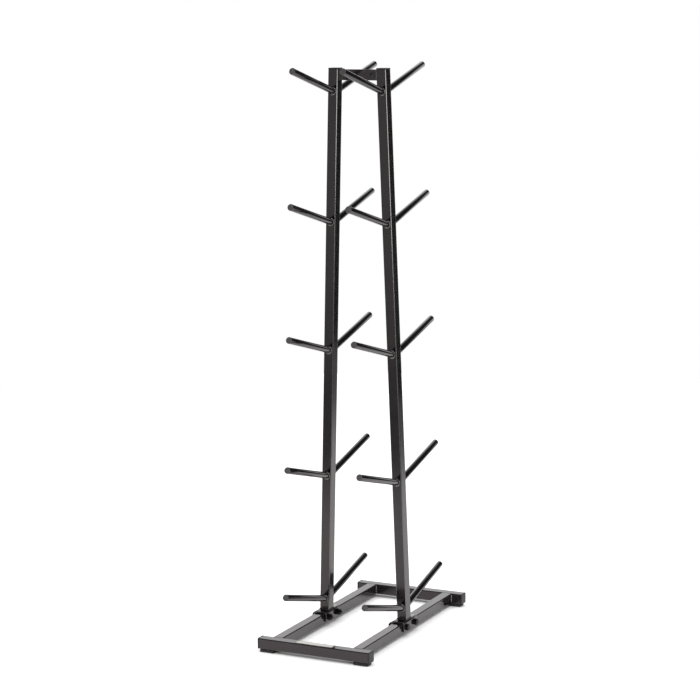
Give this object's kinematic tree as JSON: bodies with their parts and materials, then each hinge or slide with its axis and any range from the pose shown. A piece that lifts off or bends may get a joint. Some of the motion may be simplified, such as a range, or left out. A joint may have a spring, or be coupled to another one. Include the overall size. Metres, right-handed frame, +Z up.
{
  "type": "medicine ball rack",
  "caption": "Free-standing steel rack: two leaning uprights with rising pegs front and rear for medicine balls, bolted to a square-tube base frame.",
  "frame": {"origin": "on the floor, under the middle of the base frame", "axes": "+Z up, +X to the right along the crossbars, -Y towards the front; the camera of the picture stands at the front right"},
  "size_m": [0.367, 0.7008, 1.7097],
  "materials": {
    "black_powder_coat": "glossy black powder coat with a faint orange peel",
    "black_plastic": "moulded, satin",
    "foot_rubber": "matt moulded rubber",
    "blackened_steel": "black oxide, satin",
    "label_film": "blank off-white film, satin"
  },
  "bodies": {
    "root": {"blank_label": "label_film", "crosspiece": "black_powder_coat", "front_crossbar": "black_powder_coat", "front_left_end_cap": "black_plastic", "front_left_foot": "foot_rubber", "front_right_end_cap": "black_plastic", "front_right_foot": "foot_rubber", "left_crosspiece_screw": "blackened_steel", "left_front_peg_1": "black_powder_coat", "left_front_peg_2": "black_powder_coat", "left_front_peg_3": "black_powder_coat", "left_front_peg_4": "black_powder_coat", "left_front_peg_5": "black_powder_coat", "left_front_saddle_bolt": "blackened_steel", "left_front_saddle_inner_washer": "blackened_steel", "left_front_saddle_nut": "blackened_steel", "left_front_saddle_outer_washer": "blackened_steel", "left_rail": "black_powder_coat", "left_rear_peg_1": "black_powder_coat", "left_rear_peg_2": "black_powder_coat", "left_rear_peg_3": "black_powder_coat", "left_rear_peg_4": "black_powder_coat", "left_rear_peg_5": "black_powder_coat", "left_rear_saddle_bolt": "blackened_steel", "left_rear_saddle_inner_washer": "blackened_steel", "left_rear_saddle_nut": "blackened_steel", "left_rear_saddle_outer_washer": "blackened_steel", "left_saddle": "black_powder_coat", "left_top_tab": "black_powder_coat", "left_upright": "black_powder_coat", "left_upright_cap": "black_plastic", "rear_crossbar": "black_powder_coat", "rear_left_end_cap": "black_plastic", "rear_left_foot": "foot_rubber", "rear_right_end_cap": "black_plastic", "rear_right_foot": "foot_rubber", "right_crosspiece_screw": "blackened_steel", "right_front_peg_1": "black_powder_coat", "right_front_peg_2": "black_powder_coat", "right_front_peg_3": "black_powder_coat", "right_front_peg_4": "black_powder_coat", "right_front_peg_5": "black_powder_coat", "right_front_saddle_bolt": "blackened_steel", "right_front_saddle_inner_washer": "blackened_steel", "right_front_saddle_nut": "blackened_steel", "right_front_saddle_outer_washer": "blackened_steel", "right_rail": "black_powder_coat", "right_rear_peg_1": "black_powder_coat", "right_rear_peg_2": "black_powder_coat", "right_rear_peg_3": "black_powder_coat", "right_rear_peg_4": "black_powder_coat", "right_rear_peg_5": "black_powder_coat", "right_rear_saddle_bolt": "blackened_steel", "right_rear_saddle_inner_washer": "blackened_steel", "right_rear_saddle_nut": "blackened_steel", "right_rear_saddle_outer_washer": "blackened_steel", "right_saddle": "black_powder_coat", "right_top_tab": "black_powder_coat", "right_upright": "black_powder_coat", "right_upright_cap": "black_plastic"}
  },
  "joints": []
}
